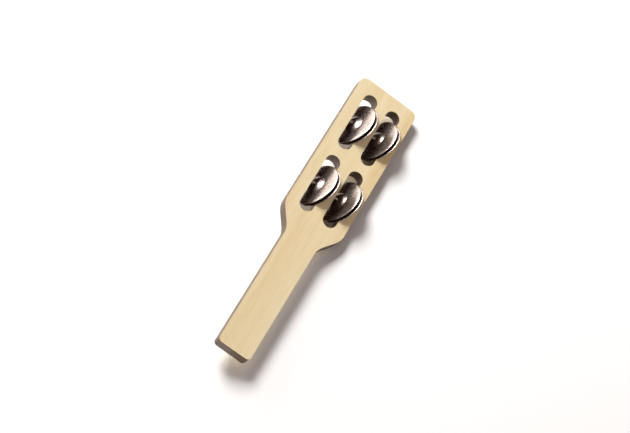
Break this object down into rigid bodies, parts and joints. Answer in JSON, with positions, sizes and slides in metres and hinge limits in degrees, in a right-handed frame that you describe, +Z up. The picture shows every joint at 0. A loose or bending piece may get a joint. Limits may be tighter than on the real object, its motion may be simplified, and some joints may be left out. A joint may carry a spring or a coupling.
{
  "type": "jingle stick",
  "caption": "Hand percussion stick: flat wooden paddle with round-ended slots, each holding a nested pair of domed metal jingles that rock on a nail.",
  "frame": {"origin": "centre of the bounding box at its lowest level, on the surface the stick lies on", "axes": "+Z up from that surface, +Y along the stick from the handle end to the head, +X across it towards the lower side of the head"},
  "size_m": [0.0662, 0.305, 0.0386],
  "materials": {
    "pale_wood": "fine sanded pale hardwood with a clear satin coat",
    "plated_steel": "nickel-plated stamped steel, polished",
    "nail_steel": "bright steel nail"
  },
  "bodies": {
    "stick": {"stick": "pale_wood", "nail_near_left": "nail_steel", "nail_near_right": "nail_steel", "nail_far_left": "nail_steel", "nail_far_right": "nail_steel"},
    "near_left_rear": {"jingle_near_left_rear": "plated_steel"},
    "near_left_front": {"jingle_near_left_front": "plated_steel"},
    "near_right_rear": {"jingle_near_right_rear": "plated_steel"},
    "near_right_front": {"jingle_near_right_front": "plated_steel"},
    "far_left_rear": {"jingle_far_left_rear": "plated_steel"},
    "far_left_front": {"jingle_far_left_front": "plated_steel"},
    "far_right_rear": {"jingle_far_right_rear": "plated_steel"},
    "far_right_front": {"jingle_far_right_front": "plated_steel"}
  },
  "joints": [
    {"name": "near_left_rear_rock", "type": "hinge", "parent": "stick", "child": "near_left_rear", "pos_m": [-0.01203, 0.0319, 0.02522], "axis": [0, 1, 0], "range_deg": [-54, 0]},
    {"name": "near_left_front_rock", "type": "hinge", "parent": "stick", "child": "near_left_front", "pos_m": [-0.01457, 0.0319, 0.0264], "axis": [0, 1, 0], "range_deg": [-54, 0]},
    {"name": "near_right_rear_rock", "type": "hinge", "parent": "stick", "child": "near_right_rear", "pos_m": [0.01154, 0.0319, 0.01426], "axis": [0, 1, 0], "range_deg": [-54, 0]},
    {"name": "near_right_front_rock", "type": "hinge", "parent": "stick", "child": "near_right_front", "pos_m": [0.009, 0.0319, 0.01544], "axis": [0, 1, 0], "range_deg": [-54, 0]},
    {"name": "far_left_rear_rock", "type": "hinge", "parent": "stick", "child": "far_left_rear", "pos_m": [-0.01203, 0.1075, 0.02522], "axis": [0, 1, 0], "range_deg": [-54, 0]},
    {"name": "far_left_front_rock", "type": "hinge", "parent": "stick", "child": "far_left_front", "pos_m": [-0.01457, 0.1075, 0.0264], "axis": [0, 1, 0], "range_deg": [-54, 0]},
    {"name": "far_right_rear_rock", "type": "hinge", "parent": "stick", "child": "far_right_rear", "pos_m": [0.01154, 0.1075, 0.01426], "axis": [0, 1, 0], "range_deg": [-54, 0]},
    {"name": "far_right_front_rock", "type": "hinge", "parent": "stick", "child": "far_right_front", "pos_m": [0.009, 0.1075, 0.01544], "axis": [0, 1, 0], "range_deg": [-54, 0]}
  ],
  "couplings": [
    {"joint": "near_left_front_rock", "follows": "near_left_rear_rock", "ratio": 1},
    {"joint": "near_right_front_rock", "follows": "near_right_rear_rock", "ratio": 1},
    {"joint": "far_left_front_rock", "follows": "far_left_rear_rock", "ratio": 1},
    {"joint": "far_right_front_rock", "follows": "far_right_rear_rock", "ratio": 1}
  ]
}
